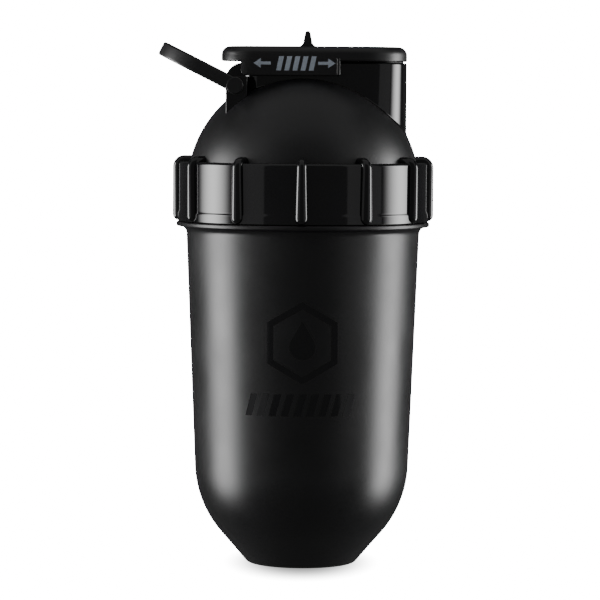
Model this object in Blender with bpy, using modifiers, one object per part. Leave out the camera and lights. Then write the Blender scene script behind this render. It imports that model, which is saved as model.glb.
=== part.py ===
"""Protein shaker bottle: a capsule cup, a domed lid held by a ribbed screw collar, and a spout
tower with a sliding cap and a carry loop.

The origin is the middle of the foot, +Z is up, and the cap opens towards -X.
Each size below is set by itself; what fits to it is worked out from it and a clearance.
"""
from math import atan2, cos, pi, radians, sin, sqrt, tan

import bmesh
import bpy
from mathutils import Matrix, Vector

MM = 0.001

# ---- Clearances
SEAT_GAP = 0.3 * MM          # between two pieces that rest on each other
SLIDE_GAP = 0.4 * MM         # between two pieces that slide or turn on each other
THREAD_GAP = 0.6 * MM        # between a thread's crest and the wall that it runs along
JOIN_STEP = 0.05 * MM        # set-back where two joined shapes would share a face

# ---- Cup
BOWL_RADIUS = 42.7 * MM      # the round end of the capsule, outside
FOOT_CUT = 2.2 * MM          # how much of the round end the flat foot takes off
WALL_TAPER = radians(2.3)    # the wall opens upwards by this much
LIP_TOP = 136.5 * MM         # height of the lip that the collar stands on
LIP_THICKNESS = 1.8 * MM
LIP_EDGE = 0.6 * MM          # rounding of its rim
LIP_REACH = 4.0 * MM         # how far the lip stands out of the wall
LIP_FILLET = 3.0 * MM        # hollow fillet from the wall to the lip
CUP_WALL = 2.4 * MM
CUP_BASE = 2.6 * MM          # thickness at the middle of the base
FOOT_CONE = radians(41.0)    # slope of the foot's side, from the vertical
FOOT_EDGE = 3.0 * MM         # rounding at the foot's edge
FOOT_GROOVE_INSIDE = 9.0 * MM
FOOT_GROOVE_OUTSIDE = 14.0 * MM
FOOT_GROOVE_DEPTH = 0.6 * MM

# ---- Neck and thread
NECK_WALL = 1.9 * MM
NECK_HEIGHT = 17.0 * MM      # above the lip
THREAD_RIDGE = 1.2 * MM      # radius of the round thread ridge
THREAD_RISE = 1.2 * MM       # how far the ridge stands out of the wall it is on
THREAD_LEAD = 5.0 * MM
THREAD_TURNS = 1.25
THREAD_START = 5.0 * MM      # lowest point of the neck's thread above the lip
THREAD_FACETS = 24           # straight pieces in one turn of a thread

# ---- Rim gasket
GASKET_THICKNESS = 1.2 * MM
GASKET_WIDTH = 2.9 * MM

# ---- Dome
DOME_RISE = 13.5 * MM        # the dome's centre above the cup's lip
DOME_INSET = 1.4 * MM        # from the collar's bore to the dome's widest side
DOME_WALL = 2.0 * MM
FLANGE_THICKNESS = 2.6 * MM
PLUG_WALL = 1.2 * MM         # skirt that centres the dome in the neck
PLUG_DEPTH = 5.0 * MM

# ---- Collar
COLLAR_WALL = 1.9 * MM
SHOULDER_THICKNESS = 2.1 * MM
SHOULDER_EDGE = 1.0 * MM
HEM_HEIGHT = 4.2 * MM        # thicker band around the collar's bottom
HEM_STEP = 0.4 * MM
RIB_COUNT = 12
RIB_TURN = radians(-0.7)     # how far past the front the first rib stands, screwed tight
RIB_RADIUS = 2.4 * MM
RIB_SINK = 0.05 * MM         # how far the rib's middle line lies inside the collar's wall
RIB_END = 2.5 * MM           # radius of the rounded lower end of a rib
RIB_BEND = 2.3 * MM          # radius of the rib's bend over the shoulder

# ---- Spout tower
TOWER_INSET = 5.3 * MM       # from the dome's widest side to the tower's right end
TOWER_HALF_WIDTH = 16.4 * MM
TOWER_LEFT_CORNER = 9.0 * MM
TOWER_WALL = 2.6 * MM
TOWER_ROOF = 2.4 * MM
TOWER_EDGE = 0.8 * MM
SPIGOT_WALL = 1.4 * MM       # thinner wall that passes through the dome
SPIGOT_DEPTH = 1.5 * MM      # how far it reaches below the dome's inner face
MOUTH_SIDE = 4.4 * MM        # from the tower's side to the mouth
MOUTH_LENGTH = 15.8 * MM
MOUTH_INSET = 3.0 * MM       # from the tower's right end to the mouth
RAIL_DEPTH = 1.2 * MM        # groove in the tower's side that the cap hooks into
RAIL_HEIGHT = 1.4 * MM       # height of the cap's hook in that groove

# ---- Hinge of the carry loop
KNUCKLE_RADIUS = 6.8 * MM
KNUCKLE_IN = 1.0 * MM        # its centre, in from the tower's left end
KNUCKLE_HALF_WIDTH = 13.0 * MM
PIVOT_OUT = 2.0 * MM         # the pin, out from the tower's left end
PIVOT_DROP = 4.0 * MM        # the pin, below the cap's skirts
PIVOT_STAND = 2.295 * MM     # the pin's middle line, off the dome
PIN_RADIUS = 1.5 * MM
LUG_LENGTH = 4.9 * MM        # from the pin to the inner side of the lugs that hold it

# ---- Sliding cap
CAP_OVERHANG = 7.6 * MM      # past the tower's left end
CAP_CORNER = 13.0 * MM       # rounding of its two left corners, seen from above
CAP_END_STEP = 0.1 * MM      # past the tower's right end
CAP_LIFT = 0.45 * MM         # underside of the cap above the tower
CAP_THICKNESS = 5.9 * MM
CAP_EDGE = 3.4 * MM          # rounding of its top edge
CAP_LOWER_EDGE = 0.6 * MM
CAP_CLEARS = 0.6 * MM        # how far the open cap stands back from the mouth
HOOK_INSET = 1.3 * MM        # from the tower's left corner to the hooks
SKIRT_INSET = 0.2 * MM       # in from the tower's left end
SKIRT_LENGTH = 39.2 * MM
SKIRT_DROP = 5.75 * MM       # below the cap's underside
SKIRT_STAND = 0.81 * MM      # off the dome, where the cap hooks in
SKIRT_CORNER = 2.2 * MM
SKIRT_WALL = 1.1 * MM
FIN_X = 1.5 * MM
FIN_HEIGHT = 6.1 * MM
FIN_TIP = 1.15 * MM          # radius of the fin's tip
FIN_ROOT = 1.7 * MM          # half thickness of the fin above its fillets
FIN_FILLET = 2.2 * MM
FIN_HALF_WIDTH = 11.0 * MM
SEAL_THICKNESS = 2.0 * MM
SEAL_BORDER = 1.6 * MM       # how far the seal reaches past the mouth

# ---- Carry loop
LOOP_ANGLE = radians(26.7)   # above the horizontal, at rest
LOOP_ROOM = 1.0 * MM         # between the open cap's end and the loop's tip
LOOP_HEIGHT = 5.7 * MM
LOOP_BAR = 4.0 * MM
LOOP_CORNER = 17.0 * MM      # outer rounding of its two corners at the tip
LOOP_SIDE_GAP = 1.1 * MM     # from the cap's side to the loop's arm, so the cap slides through
HUB_RADIUS = 3.4 * MM
LOOP_EDGE = 0.6 * MM

# ---- Facets of round shapes
TURN_STEPS = 48
ARC_STEPS = 4                # pieces in a small rounding
SHELL_STEPS = 11             # pieces in the long arc of a dome or bowl


# ---- Sizes that follow from the ones above
bowl_centre = BOWL_RADIUS - FOOT_CUT
wall_start_z = bowl_centre - BOWL_RADIUS * sin(WALL_TAPER)
wall_start_r = BOWL_RADIUS * cos(WALL_TAPER)
lip_bottom = LIP_TOP - LIP_THICKNESS
wall_end_z = lip_bottom - LIP_FILLET
wall_end_r = wall_start_r + (wall_end_z - wall_start_z) * tan(WALL_TAPER)
lip_radius = wall_end_r + LIP_REACH
cup_inside_top = wall_end_r - CUP_WALL
neck_radius = cup_inside_top + NECK_WALL
neck_top = LIP_TOP + NECK_HEIGHT

gasket_bottom = neck_top + SEAT_GAP
flange_bottom = gasket_bottom + GASKET_THICKNESS + SEAT_GAP
flange_top = flange_bottom + FLANGE_THICKNESS
plug_outside = cup_inside_top - SLIDE_GAP
plug_inside = plug_outside - PLUG_WALL

collar_inside = neck_radius + THREAD_RISE + THREAD_GAP
collar_outside = collar_inside + COLLAR_WALL
collar_bottom = LIP_TOP + SEAT_GAP
shoulder_bottom = flange_top + SLIDE_GAP
shoulder_top = shoulder_bottom + SHOULDER_THICKNESS
flange_radius = collar_inside - SLIDE_GAP
dome_radius = collar_inside - DOME_INSET
dome_centre = LIP_TOP + DOME_RISE

groove_inside = TOWER_HALF_WIDTH - RAIL_DEPTH
hook_inside = groove_inside + SLIDE_GAP
skirt_inside = TOWER_HALF_WIDTH + SLIDE_GAP
cap_half_width = skirt_inside + SKIRT_WALL
skirt_bottom = dome_centre + sqrt(dome_radius ** 2 - hook_inside ** 2) + SKIRT_STAND
cap_bottom = skirt_bottom + SKIRT_DROP
cap_top = cap_bottom + CAP_THICKNESS
tower_top = cap_bottom - CAP_LIFT

pivot_z = skirt_bottom - PIVOT_DROP
lug_radius = PIVOT_DROP - SLIDE_GAP
pivot_x = -sqrt((dome_radius + PIVOT_STAND) ** 2 - (pivot_z - dome_centre) ** 2)
tower_left = pivot_x + PIVOT_OUT
tower_right = dome_radius - TOWER_INSET
spigot_inset = TOWER_WALL - SPIGOT_WALL
mouth_x = tower_right - MOUTH_INSET - MOUTH_LENGTH / 2
mouth_half_width = TOWER_HALF_WIDTH - MOUTH_SIDE
knuckle_x = tower_left + KNUCKLE_IN
knuckle_z = tower_top - KNUCKLE_RADIUS - SLIDE_GAP / 2

cap_left = tower_left - CAP_OVERHANG
cap_right = tower_right + CAP_END_STEP
cap_travel = cap_right - (mouth_x - MOUTH_LENGTH / 2) + CAP_CLEARS
hook_left = tower_left + TOWER_LEFT_CORNER + HOOK_INSET
skirt_left = tower_left + SKIRT_INSET
skirt_right = skirt_left + SKIRT_LENGTH

pin_hole = PIN_RADIUS + SEAT_GAP
arm_inside = cap_half_width + LOOP_SIDE_GAP
arm_outside = arm_inside + LOOP_BAR
loop_room = pivot_x - (cap_left - cap_travel) + LOOP_ROOM
loop_length = loop_room / cos(LOOP_ANGLE) + LOOP_BAR


# ---- Scene and materials
def clear_scene():
    for old in list(bpy.data.objects):
        bpy.data.objects.remove(old)


def new_collection(name):
    collection = bpy.data.collections.new(name)
    bpy.context.scene.collection.children.link(collection)
    return collection


def plastic(name, colour, roughness):
    material = bpy.data.materials.new(name)
    material.use_nodes = True
    shader = material.node_tree.nodes["Principled BSDF"]
    shader.inputs["Base Color"].default_value = (*colour, 1.0)
    shader.inputs["Roughness"].default_value = roughness
    shader.inputs["Metallic"].default_value = 0.0
    return material


# ---- Building blocks
def arc(centre_a, centre_b, radius, start, end, steps):
    """Points of an arc about (centre_a, centre_b), with angles in radians."""
    turn = (end - start) / steps
    return [
        (centre_a + radius * cos(start + i * turn), centre_b + radius * sin(start + i * turn))
        for i in range(steps + 1)
    ]


def stadium(left, right, half_width, left_corner, steps=12):
    """Outline with a round right end, and a left end with rounded corners."""
    right_end = arc(right - half_width, 0.0, half_width, -pi / 2, pi / 2, 2 * steps)
    return right_end + two_corners(left, half_width, left_corner, steps)


def two_corners(left, half_width, corner, steps):
    """Rounded left corners of an outline, from its upper side to its lower side."""
    side = half_width - corner
    upper = arc(left + corner, side, corner, pi / 2, pi, steps)
    lower = arc(left + corner, -side, corner, pi, 3 * pi / 2, steps)
    return upper + lower


def add_object(name, mesh, collection, material=None):
    thing = bpy.data.objects.new(name, mesh)
    collection.objects.link(thing)
    if material:
        mesh.materials.append(material)
    return thing


def turned(name, profile, collection, material=None, closed=True):
    """Solid turned about Z from (radius, height) points that run down the outer side."""
    mesh = bpy.data.meshes.new(name)
    points = [(r, 0.0, z) for r, z in profile]
    edges = [(i, i + 1) for i in range(len(points) - 1)]
    if closed:
        edges.append((len(points) - 1, 0))
    mesh.from_pydata(points, edges, [])
    thing = add_object(name, mesh, collection, material)
    screw = thing.modifiers.new("Turn", "SCREW")
    screw.axis = "Z"
    screw.steps = TURN_STEPS
    screw.render_steps = TURN_STEPS
    screw.use_merge_vertices = True
    screw.merge_threshold = 0.00001
    return thing


def extruded(name, outline, low, high, collection, material=None):
    """Solid with a flat outline in X and Y, from one height to another."""
    curve = bpy.data.curves.new(name, "CURVE")
    curve.dimensions = "2D"
    curve.fill_mode = "BOTH"
    curve.extrude = (high - low) / 2
    spline = curve.splines.new("POLY")
    spline.points.add(len(outline) - 1)
    for point, (x, y) in zip(spline.points, outline):
        point.co = (x, y, 0.0, 1.0)
    spline.use_cyclic_u = True
    thing = bpy.data.objects.new(name, curve)
    collection.objects.link(thing)
    thing.location.z = (low + high) / 2
    return as_mesh(thing, collection, material)


def as_mesh(thing, collection, material=None):
    """The object as the viewport shows it, as one mesh with its loose ends welded."""
    bpy.context.view_layer.update()
    graph = bpy.context.evaluated_depsgraph_get()
    mesh = bpy.data.meshes.new_from_object(thing.evaluated_get(graph))
    shape = bmesh.new()
    shape.from_mesh(mesh)
    bmesh.ops.remove_doubles(shape, verts=shape.verts, dist=0.00001)
    bmesh.ops.recalc_face_normals(shape, faces=shape.faces)
    shape.to_mesh(mesh)
    shape.free()
    name = thing.name
    placed = thing.matrix_world.copy()
    bpy.data.objects.remove(thing)
    mesh.materials.clear()
    solid = add_object(name, mesh, collection, material)
    solid.matrix_world = placed
    return solid


def rod(name, start, end, radius, collection, material=None, sides=24):
    """Cylinder between two points."""
    run = Vector(end) - Vector(start)
    shape = bmesh.new()
    bmesh.ops.create_cone(
        shape, cap_ends=True, segments=sides, radius1=radius, radius2=radius, depth=run.length
    )
    mesh = bpy.data.meshes.new(name)
    shape.to_mesh(mesh)
    shape.free()
    thing = add_object(name, mesh, collection, material)
    middle = (Vector(start) + Vector(end)) / 2
    thing.matrix_world = Matrix.Translation(middle) @ run.to_track_quat("Z", "Y").to_matrix().to_4x4()
    return thing


def box(name, corner, opposite, collection):
    """Block between two opposite corners."""
    low = Vector([min(a, b) for a, b in zip(corner, opposite)])
    high = Vector([max(a, b) for a, b in zip(corner, opposite)])
    shape = bmesh.new()
    size = high - low
    bmesh.ops.create_cube(shape, size=1.0, matrix=Matrix.Diagonal((*size, 1.0)))
    mesh = bpy.data.meshes.new(name)
    shape.to_mesh(mesh)
    shape.free()
    thing = add_object(name, mesh, collection)
    thing.location = (low + high) / 2
    return thing


def ball(name, centre, radius, collection, segments=TURN_STEPS, rings=TURN_STEPS // 2):
    """Ball, turned by half a facet so that its edges miss those of the shapes around it."""
    shape = bmesh.new()
    bmesh.ops.create_uvsphere(shape, u_segments=segments, v_segments=rings, radius=radius)
    mesh = bpy.data.meshes.new(name)
    shape.to_mesh(mesh)
    shape.free()
    thing = add_object(name, mesh, collection)
    thing.location = centre
    thing.rotation_euler.z = pi / segments
    return thing


def tube(name, points, radius, collection):
    """Round bar along a line of points, with filled ends."""
    curve = bpy.data.curves.new(name, "CURVE")
    curve.dimensions = "3D"
    curve.bevel_depth = radius
    curve.bevel_resolution = 1
    curve.use_fill_caps = True
    spline = curve.splines.new("POLY")
    spline.points.add(len(points) - 1)
    for point, place in zip(spline.points, points):
        point.co = (*place, 1.0)
    thing = bpy.data.objects.new(name, curve)
    collection.objects.link(thing)
    return as_mesh(thing, collection)


def combine(thing, other, operation):
    """Boolean with the EXACT solver; the other solid becomes a hidden cutter."""
    other.hide_render = True
    other.display_type = "WIRE"
    step = thing.modifiers.new(other.name, "BOOLEAN")
    step.operation = operation
    step.solver = "EXACT"
    step.object = other


def round_edges(thing, width, segments=3, angle=radians(50)):
    bevel = thing.modifiers.new("Rounding", "BEVEL")
    bevel.width = width
    bevel.segments = segments
    bevel.limit_method = "ANGLE"
    bevel.angle_limit = angle


def round_rim(thing, top, width, segments):
    """Round the edge of an upright solid where its side meets its top or its bottom."""
    shape = bmesh.new()
    shape.from_mesh(thing.data)
    bmesh.ops.dissolve_limit(
        shape, angle_limit=radians(1), verts=shape.verts, edges=shape.edges
    )
    heights = [vertex.co.z for vertex in shape.verts]
    level = max(heights) if top else min(heights)
    rim = [
        edge for edge in shape.edges
        if all(abs(vertex.co.z - level) < 0.01 * MM for vertex in edge.verts)
    ]
    bmesh.ops.bevel(
        shape, geom=rim, offset=width, offset_type="OFFSET", segments=segments, profile=0.5,
        affect="EDGES", clamp_overlap=False,
    )
    shape.to_mesh(thing.data)
    shape.free()


def shade_round(thing, angle=radians(40)):
    thing.data.shade_smooth()
    thing.data.set_sharp_from_angle(angle=angle)


def helix(radius, start_height, turns):
    count = round(THREAD_FACETS * turns)
    points = []
    for i in range(count + 1):
        angle = 2 * pi * i / THREAD_FACETS
        height = start_height + THREAD_LEAD * i / THREAD_FACETS
        points.append((radius * cos(angle), radius * sin(angle), height))
    return points


# ---- Cup
def bowl_points(radius, centre, low_angle):
    """Arc of the capsule's round end, from its wall down to an angle below the horizontal."""
    return arc(0.0, centre, radius, -WALL_TAPER, -low_angle, SHELL_STEPS)


def foot_points():
    """Foot from its cone to the middle: rounded edge, rest ring, groove and middle pad."""
    cone_r = BOWL_RADIUS * cos(FOOT_CONE)
    cone_z = bowl_centre - BOWL_RADIUS * sin(FOOT_CONE)
    corner_r = cone_r - cone_z * tan(FOOT_CONE)
    turn = pi / 2 - FOOT_CONE
    edge_r = corner_r - FOOT_EDGE * tan(turn / 2)
    edge = arc(edge_r, FOOT_EDGE, FOOT_EDGE, -FOOT_CONE, -pi / 2, ARC_STEPS)
    return edge + [
        (FOOT_GROOVE_OUTSIDE, 0.0),
        (FOOT_GROOVE_OUTSIDE - FOOT_GROOVE_DEPTH, FOOT_GROOVE_DEPTH),
        (FOOT_GROOVE_INSIDE + FOOT_GROOVE_DEPTH, FOOT_GROOVE_DEPTH),
        (FOOT_GROOVE_INSIDE, 0.0),
        (0.0, 0.0),
    ]


def lip_points():
    """Lip and the hollow fillet under it, from its top edge down to the wall."""
    rim_r = lip_radius - LIP_EDGE
    rim = arc(rim_r, LIP_TOP - LIP_EDGE, LIP_EDGE, pi / 2, 0.0, 3)
    rim += arc(rim_r, lip_bottom + LIP_EDGE, LIP_EDGE, 0.0, -pi / 2, 3)
    fillet = arc(wall_end_r + LIP_FILLET, wall_end_z, LIP_FILLET, pi / 2, pi, ARC_STEPS)
    return rim + fillet


def make_cup(parts, cutters, material):
    inside_radius = BOWL_RADIUS - CUP_WALL
    inside_centre = CUP_BASE + inside_radius
    inside = bowl_points(inside_radius, inside_centre, pi / 2)
    inside.reverse()
    profile = inside + [
        (cup_inside_top, wall_end_z),
        (cup_inside_top, neck_top),
        (neck_radius, neck_top),
        (neck_radius, LIP_TOP),
    ]
    profile += lip_points() + bowl_points(BOWL_RADIUS, bowl_centre, FOOT_CONE) + foot_points()
    profile[0] = (0.0, CUP_BASE)
    cup = turned("cup_body", profile, parts, material, closed=False)
    line = neck_radius + THREAD_RISE - THREAD_RIDGE
    ridge = tube(
        "neck_thread", helix(line, LIP_TOP + THREAD_START, THREAD_TURNS), THREAD_RIDGE, cutters
    )
    combine(cup, ridge, "UNION")
    return cup


# ---- Dome and gasket
def dome_radius_at(height, radius):
    return sqrt(radius ** 2 - (height - dome_centre) ** 2)


def make_gasket(parts, material):
    inner = plug_outside + SEAT_GAP
    outer = inner + GASKET_WIDTH
    top = gasket_bottom + GASKET_THICKNESS
    profile = [(inner, top), (outer, top), (outer, gasket_bottom), (inner, gasket_bottom)]
    return turned("rim_gasket", profile, parts, material)


def make_dome(parts, cutters, material):
    inside_radius = dome_radius - DOME_WALL
    outside_start = atan2(flange_top - dome_centre, dome_radius_at(flange_top, dome_radius))
    plug_meets = sqrt(inside_radius ** 2 - plug_inside ** 2)
    inside_end = atan2(plug_meets, plug_inside)
    outside = arc(0.0, dome_centre, dome_radius, pi / 2, outside_start, SHELL_STEPS)
    inside = arc(0.0, dome_centre, inside_radius, inside_end, pi / 2, SHELL_STEPS)
    outside[0] = (0.0, dome_centre + dome_radius)
    inside[-1] = (0.0, dome_centre + inside_radius)
    profile = outside + [
        (flange_radius, flange_top),
        (flange_radius, flange_bottom),
        (plug_outside, flange_bottom),
        (plug_outside, flange_bottom - PLUG_DEPTH),
        (plug_inside, flange_bottom - PLUG_DEPTH),
    ]
    dome = turned("lid_dome", profile + inside, parts, material, closed=False)
    inset = spigot_inset - SEAT_GAP
    hole = extruded("dome_hole", tower_outline(inset), dome_centre, tower_top, cutters)
    combine(dome, hole, "DIFFERENCE")
    return dome


# ---- Collar
def rib_path(angle):
    """Middle line of one rib: over the shoulder from the dome, then down the wall."""
    line = collar_outside - RIB_SINK
    height = shoulder_top - RIB_SINK
    inner = dome_radius_at(height, dome_radius)
    bend = arc(line - RIB_BEND, height - RIB_BEND, RIB_BEND, pi / 2, 0.0, 4)
    flat = [(inner, height)] + bend + [(line, collar_bottom + RIB_END)]
    return [(r * cos(angle), r * sin(angle), z) for r, z in flat]


def collar_blank():
    """Solid turned blank of the collar, before its bore."""
    hem = collar_outside + HEM_STEP
    hem_top = collar_bottom + HEM_HEIGHT
    edge_r = collar_outside - SHOULDER_EDGE
    edge_z = shoulder_top - SHOULDER_EDGE
    edge = arc(edge_r, edge_z, SHOULDER_EDGE, pi / 2, 0.0, 3)
    side = [(collar_outside, hem_top + HEM_STEP), (hem, hem_top), (hem, collar_bottom)]
    return [(0.0, shoulder_top)] + edge + side + [(0.0, collar_bottom)]


def make_collar(parts, cutters, material):
    collar = turned("lid_collar", collar_blank(), parts, material, closed=False)
    for i in range(RIB_COUNT):
        angle = 2 * pi * i / RIB_COUNT - pi / 2 + RIB_TURN
        rib = tube(f"rib_{i}", rib_path(angle), RIB_RADIUS, cutters)
        combine(collar, rib, "UNION")
        line = collar_outside - RIB_SINK
        foot = (line * cos(angle), line * sin(angle), collar_bottom + RIB_END)
        end = ball(f"rib_end_{i}", foot, RIB_END, cutters, segments=16, rings=8)
        combine(collar, end, "UNION")
    bore = turned("collar_bore", bore_profile(), cutters, closed=False)
    combine(collar, bore, "DIFFERENCE")
    line = collar_inside - THREAD_RISE + THREAD_RIDGE
    start = LIP_TOP + THREAD_START - THREAD_LEAD / 2
    ridge = tube("collar_thread", helix(line, start, THREAD_TURNS), THREAD_RIDGE, cutters)
    combine(collar, ridge, "UNION")
    return collar


def bore_profile():
    """Room inside the collar: the dome's outside with its gap, then the bore."""
    clear = dome_radius + SLIDE_GAP
    low = atan2(shoulder_bottom - dome_centre, dome_radius_at(shoulder_bottom, dome_radius))
    points = arc(0.0, dome_centre, clear, pi / 2, low, SHELL_STEPS)
    points[0] = (0.0, dome_centre + clear)
    return points + [
        (collar_inside, shoulder_bottom),
        (collar_inside, collar_bottom - MM),
        (0.0, collar_bottom - MM),
    ]


# ---- Spout tower
def tower_outline(inset):
    return stadium(
        tower_left + inset, tower_right - inset, TOWER_HALF_WIDTH - inset, TOWER_LEFT_CORNER - inset
    )


def mouth_outline(border):
    """Oval of the mouth, or of a piece that reaches past it by a border."""
    reach = MOUTH_LENGTH / 2 + border
    half_width = mouth_half_width + border
    turns = [2 * pi * i / TURN_STEPS for i in range(TURN_STEPS)]
    return [(mouth_x + reach * cos(turn), half_width * sin(turn)) for turn in turns]


def upright(name, outline, half_width, collection, material=None):
    """Solid with an outline in X and Z, and the same width either side of the middle."""
    thing = extruded(name, outline, -half_width, half_width, collection, material)
    thing.matrix_world = Matrix.Rotation(pi / 2, 4, "X") @ thing.matrix_world
    return thing


def pin_rod(name, radius, reach, collection, material=None):
    """Cylinder along the loop's pivot, the same length either side of the middle."""
    start = (pivot_x, -reach, pivot_z)
    end = (pivot_x, reach, pivot_z)
    return rod(name, start, end, radius, collection, material)


def knuckle_outline():
    """Hinge block: round at the top left, flat down to the dome."""
    round_side = arc(knuckle_x, knuckle_z, KNUCKLE_RADIUS, pi, pi / 2, 10)
    inner_x = tower_left + TOWER_LEFT_CORNER
    return round_side + [
        (inner_x, knuckle_z + KNUCKLE_RADIUS),
        (inner_x, dome_centre),
        (knuckle_x - KNUCKLE_RADIUS, dome_centre),
    ]


def lug_outline():
    """Lugs that hold the pin: round about it at the left, and standing on the dome."""
    left = arc(pivot_x, pivot_z, lug_radius, pi, pi / 2, 8)
    inner_x = pivot_x + LUG_LENGTH
    return left + [
        (inner_x, pivot_z + lug_radius),
        (inner_x, dome_centre + JOIN_STEP),
        (pivot_x - lug_radius, dome_centre + JOIN_STEP),
    ]


def make_tower(parts, cutters, material):
    tower = extruded("spout_tower", tower_outline(0.0), dome_centre, tower_top, parts, material)
    round_rim(tower, True, TOWER_EDGE, 2)
    combine(tower, upright("knuckle", knuckle_outline(), KNUCKLE_HALF_WIDTH, cutters), "UNION")
    lug_end = arm_inside - SEAT_GAP
    combine(tower, upright("lugs", lug_outline(), lug_end, cutters), "UNION")
    middle = (0.0, 0.0, dome_centre)
    seat = ball("dome_seat", middle, dome_radius + SLIDE_GAP, cutters)
    combine(tower, seat, "DIFFERENCE")
    spigot = extruded(
        "spigot", tower_outline(spigot_inset), dome_centre, tower_top - JOIN_STEP, cutters
    )
    under = ball("under_dome", middle, dome_radius - DOME_WALL - SPIGOT_DEPTH, cutters)
    combine(spigot, under, "DIFFERENCE")
    combine(tower, spigot, "UNION")
    roof_bottom = tower_top - TOWER_ROOF
    room = tower_outline(TOWER_WALL)
    hollow = extruded("tower_hollow", room, dome_centre - MM, roof_bottom, cutters)
    combine(tower, hollow, "DIFFERENCE")
    mouth = extruded("mouth", mouth_outline(0.0), roof_bottom - MM, tower_top + MM, cutters)
    combine(tower, mouth, "DIFFERENCE")
    for side in (-1, 1):
        groove = box(
            f"rail_groove_{side}",
            (hook_left - cap_travel, side * groove_inside, skirt_bottom - SLIDE_GAP),
            (skirt_right + SLIDE_GAP, side * (cap_half_width + MM),
             skirt_bottom + RAIL_HEIGHT + SLIDE_GAP),
            cutters,
        )
        combine(tower, groove, "DIFFERENCE")
    hole = pin_rod("hinge_hole", pin_hole, arm_outside + MM, cutters)
    combine(tower, hole, "DIFFERENCE")
    return tower


# ---- Sliding cap and its seal
def fin_outline():
    """Thumb fin seen from the front: round tip, sloping sides and hollow fillets."""
    tip_z = cap_top + FIN_HEIGHT - FIN_TIP
    tip = arc(FIN_X, tip_z, FIN_TIP, pi, 0.0, 8)
    out = FIN_ROOT + FIN_FILLET
    up = cap_top + FIN_FILLET - JOIN_STEP
    right = arc(FIN_X + out, up, FIN_FILLET, pi, 3 * pi / 2, 5)
    left = arc(FIN_X - out, up, FIN_FILLET, -pi / 2, 0.0, 5)
    buried = cap_top - MM
    ends = [(right[-1][0], buried), (left[0][0], buried)]
    return tip + right + ends + left


def skirt_side():
    """Skirt seen from the front, with its lower corners rounded."""
    low = skirt_bottom + SKIRT_CORNER
    left = arc(skirt_left + SKIRT_CORNER, low, SKIRT_CORNER, pi, 3 * pi / 2, ARC_STEPS)
    right = arc(skirt_right - SKIRT_CORNER, low, SKIRT_CORNER, -pi / 2, 0.0, ARC_STEPS)
    top = cap_bottom + CAP_LOWER_EDGE + SLIDE_GAP
    return left + right + [(skirt_right, top), (skirt_left, top)]


def make_skirts(cutters):
    """Front and back skirts, which follow the cap's own outline."""
    reach = cap_bottom + CAP_LOWER_EDGE + SLIDE_GAP + MM
    skirts = extruded("skirts", cap_outline(JOIN_STEP), skirt_bottom - MM, reach, cutters)
    room = extruded("skirt_room", cap_outline(SKIRT_WALL), skirt_bottom - 2 * MM, reach + MM, cutters)
    combine(skirts, room, "DIFFERENCE")
    combine(skirts, upright("skirt_side", skirt_side(), cap_half_width + MM, cutters), "INTERSECT")
    return skirts


def cap_outline(inset):
    return stadium(
        cap_left + inset, cap_right - inset, cap_half_width - inset, CAP_CORNER - inset
    )


def make_cap(parts, cutters, material):
    outline = cap_outline(0.0)
    cap = extruded("slide_cap", outline, cap_bottom, cap_top, parts, material)
    round_rim(cap, True, CAP_EDGE, 5)
    round_rim(cap, False, CAP_LOWER_EDGE, 2)
    combine(cap, make_skirts(cutters), "UNION")
    for side in (-1, 1):
        hook = box(
            f"hook_{side}",
            (hook_left, side * hook_inside, skirt_bottom + JOIN_STEP),
            (skirt_right, side * (skirt_inside + SLIDE_GAP), skirt_bottom + RAIL_HEIGHT),
            cutters,
        )
        combine(cap, hook, "UNION")
    fin = upright("thumb_fin", fin_outline(), FIN_HALF_WIDTH, cutters)
    combine(cap, fin, "UNION")
    pocket = extruded(
        "seal_pocket", mouth_outline(SEAL_BORDER + SEAT_GAP), cap_bottom - MM,
        tower_top + SEAL_THICKNESS + 2 * SEAT_GAP, cutters,
    )
    combine(cap, pocket, "DIFFERENCE")
    return cap


def make_seal(parts, material):
    bottom = tower_top + SEAT_GAP
    top = bottom + SEAL_THICKNESS
    return extruded("slide_seal", mouth_outline(SEAL_BORDER), bottom, top, parts, material)


# ---- Carry loop and its pin
def loop_outline():
    """U of two arms and a tip with rounded corners, in the loop's own plane, pivot at zero."""
    outer = two_corners(-loop_length, arm_outside, LOOP_CORNER, 12)
    inner = two_corners(LOOP_BAR - loop_length, arm_inside, LOOP_CORNER - LOOP_BAR, 12)
    inner.reverse()
    lower_end = [(0.0, -arm_outside), (0.0, -arm_inside)]
    upper_end = [(0.0, arm_inside), (0.0, arm_outside)]
    return outer + lower_end + inner + upper_end


def make_loop(parts, cutters, material):
    loop = extruded(
        "carry_loop", loop_outline(), -LOOP_HEIGHT / 2, LOOP_HEIGHT / 2, parts, material
    )
    placed = Matrix.Translation((pivot_x, 0.0, pivot_z)) @ Matrix.Rotation(LOOP_ANGLE, 4, "Y")
    loop.matrix_world = placed
    round_edges(loop, LOOP_EDGE, segments=2)
    for side in (-1, 1):
        hub = rod(
            f"loop_hub_{side}",
            (pivot_x, side * arm_inside, pivot_z),
            (pivot_x, side * arm_outside, pivot_z),
            HUB_RADIUS,
            cutters,
        )
        combine(loop, hub, "UNION")
    combine(loop, pin_rod("loop_hole", pin_hole, arm_outside + MM, cutters), "DIFFERENCE")
    return loop


def make_pin(parts, material):
    return pin_rod("loop_pin", PIN_RADIUS, arm_outside - SEAT_GAP, parts, material)


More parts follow.
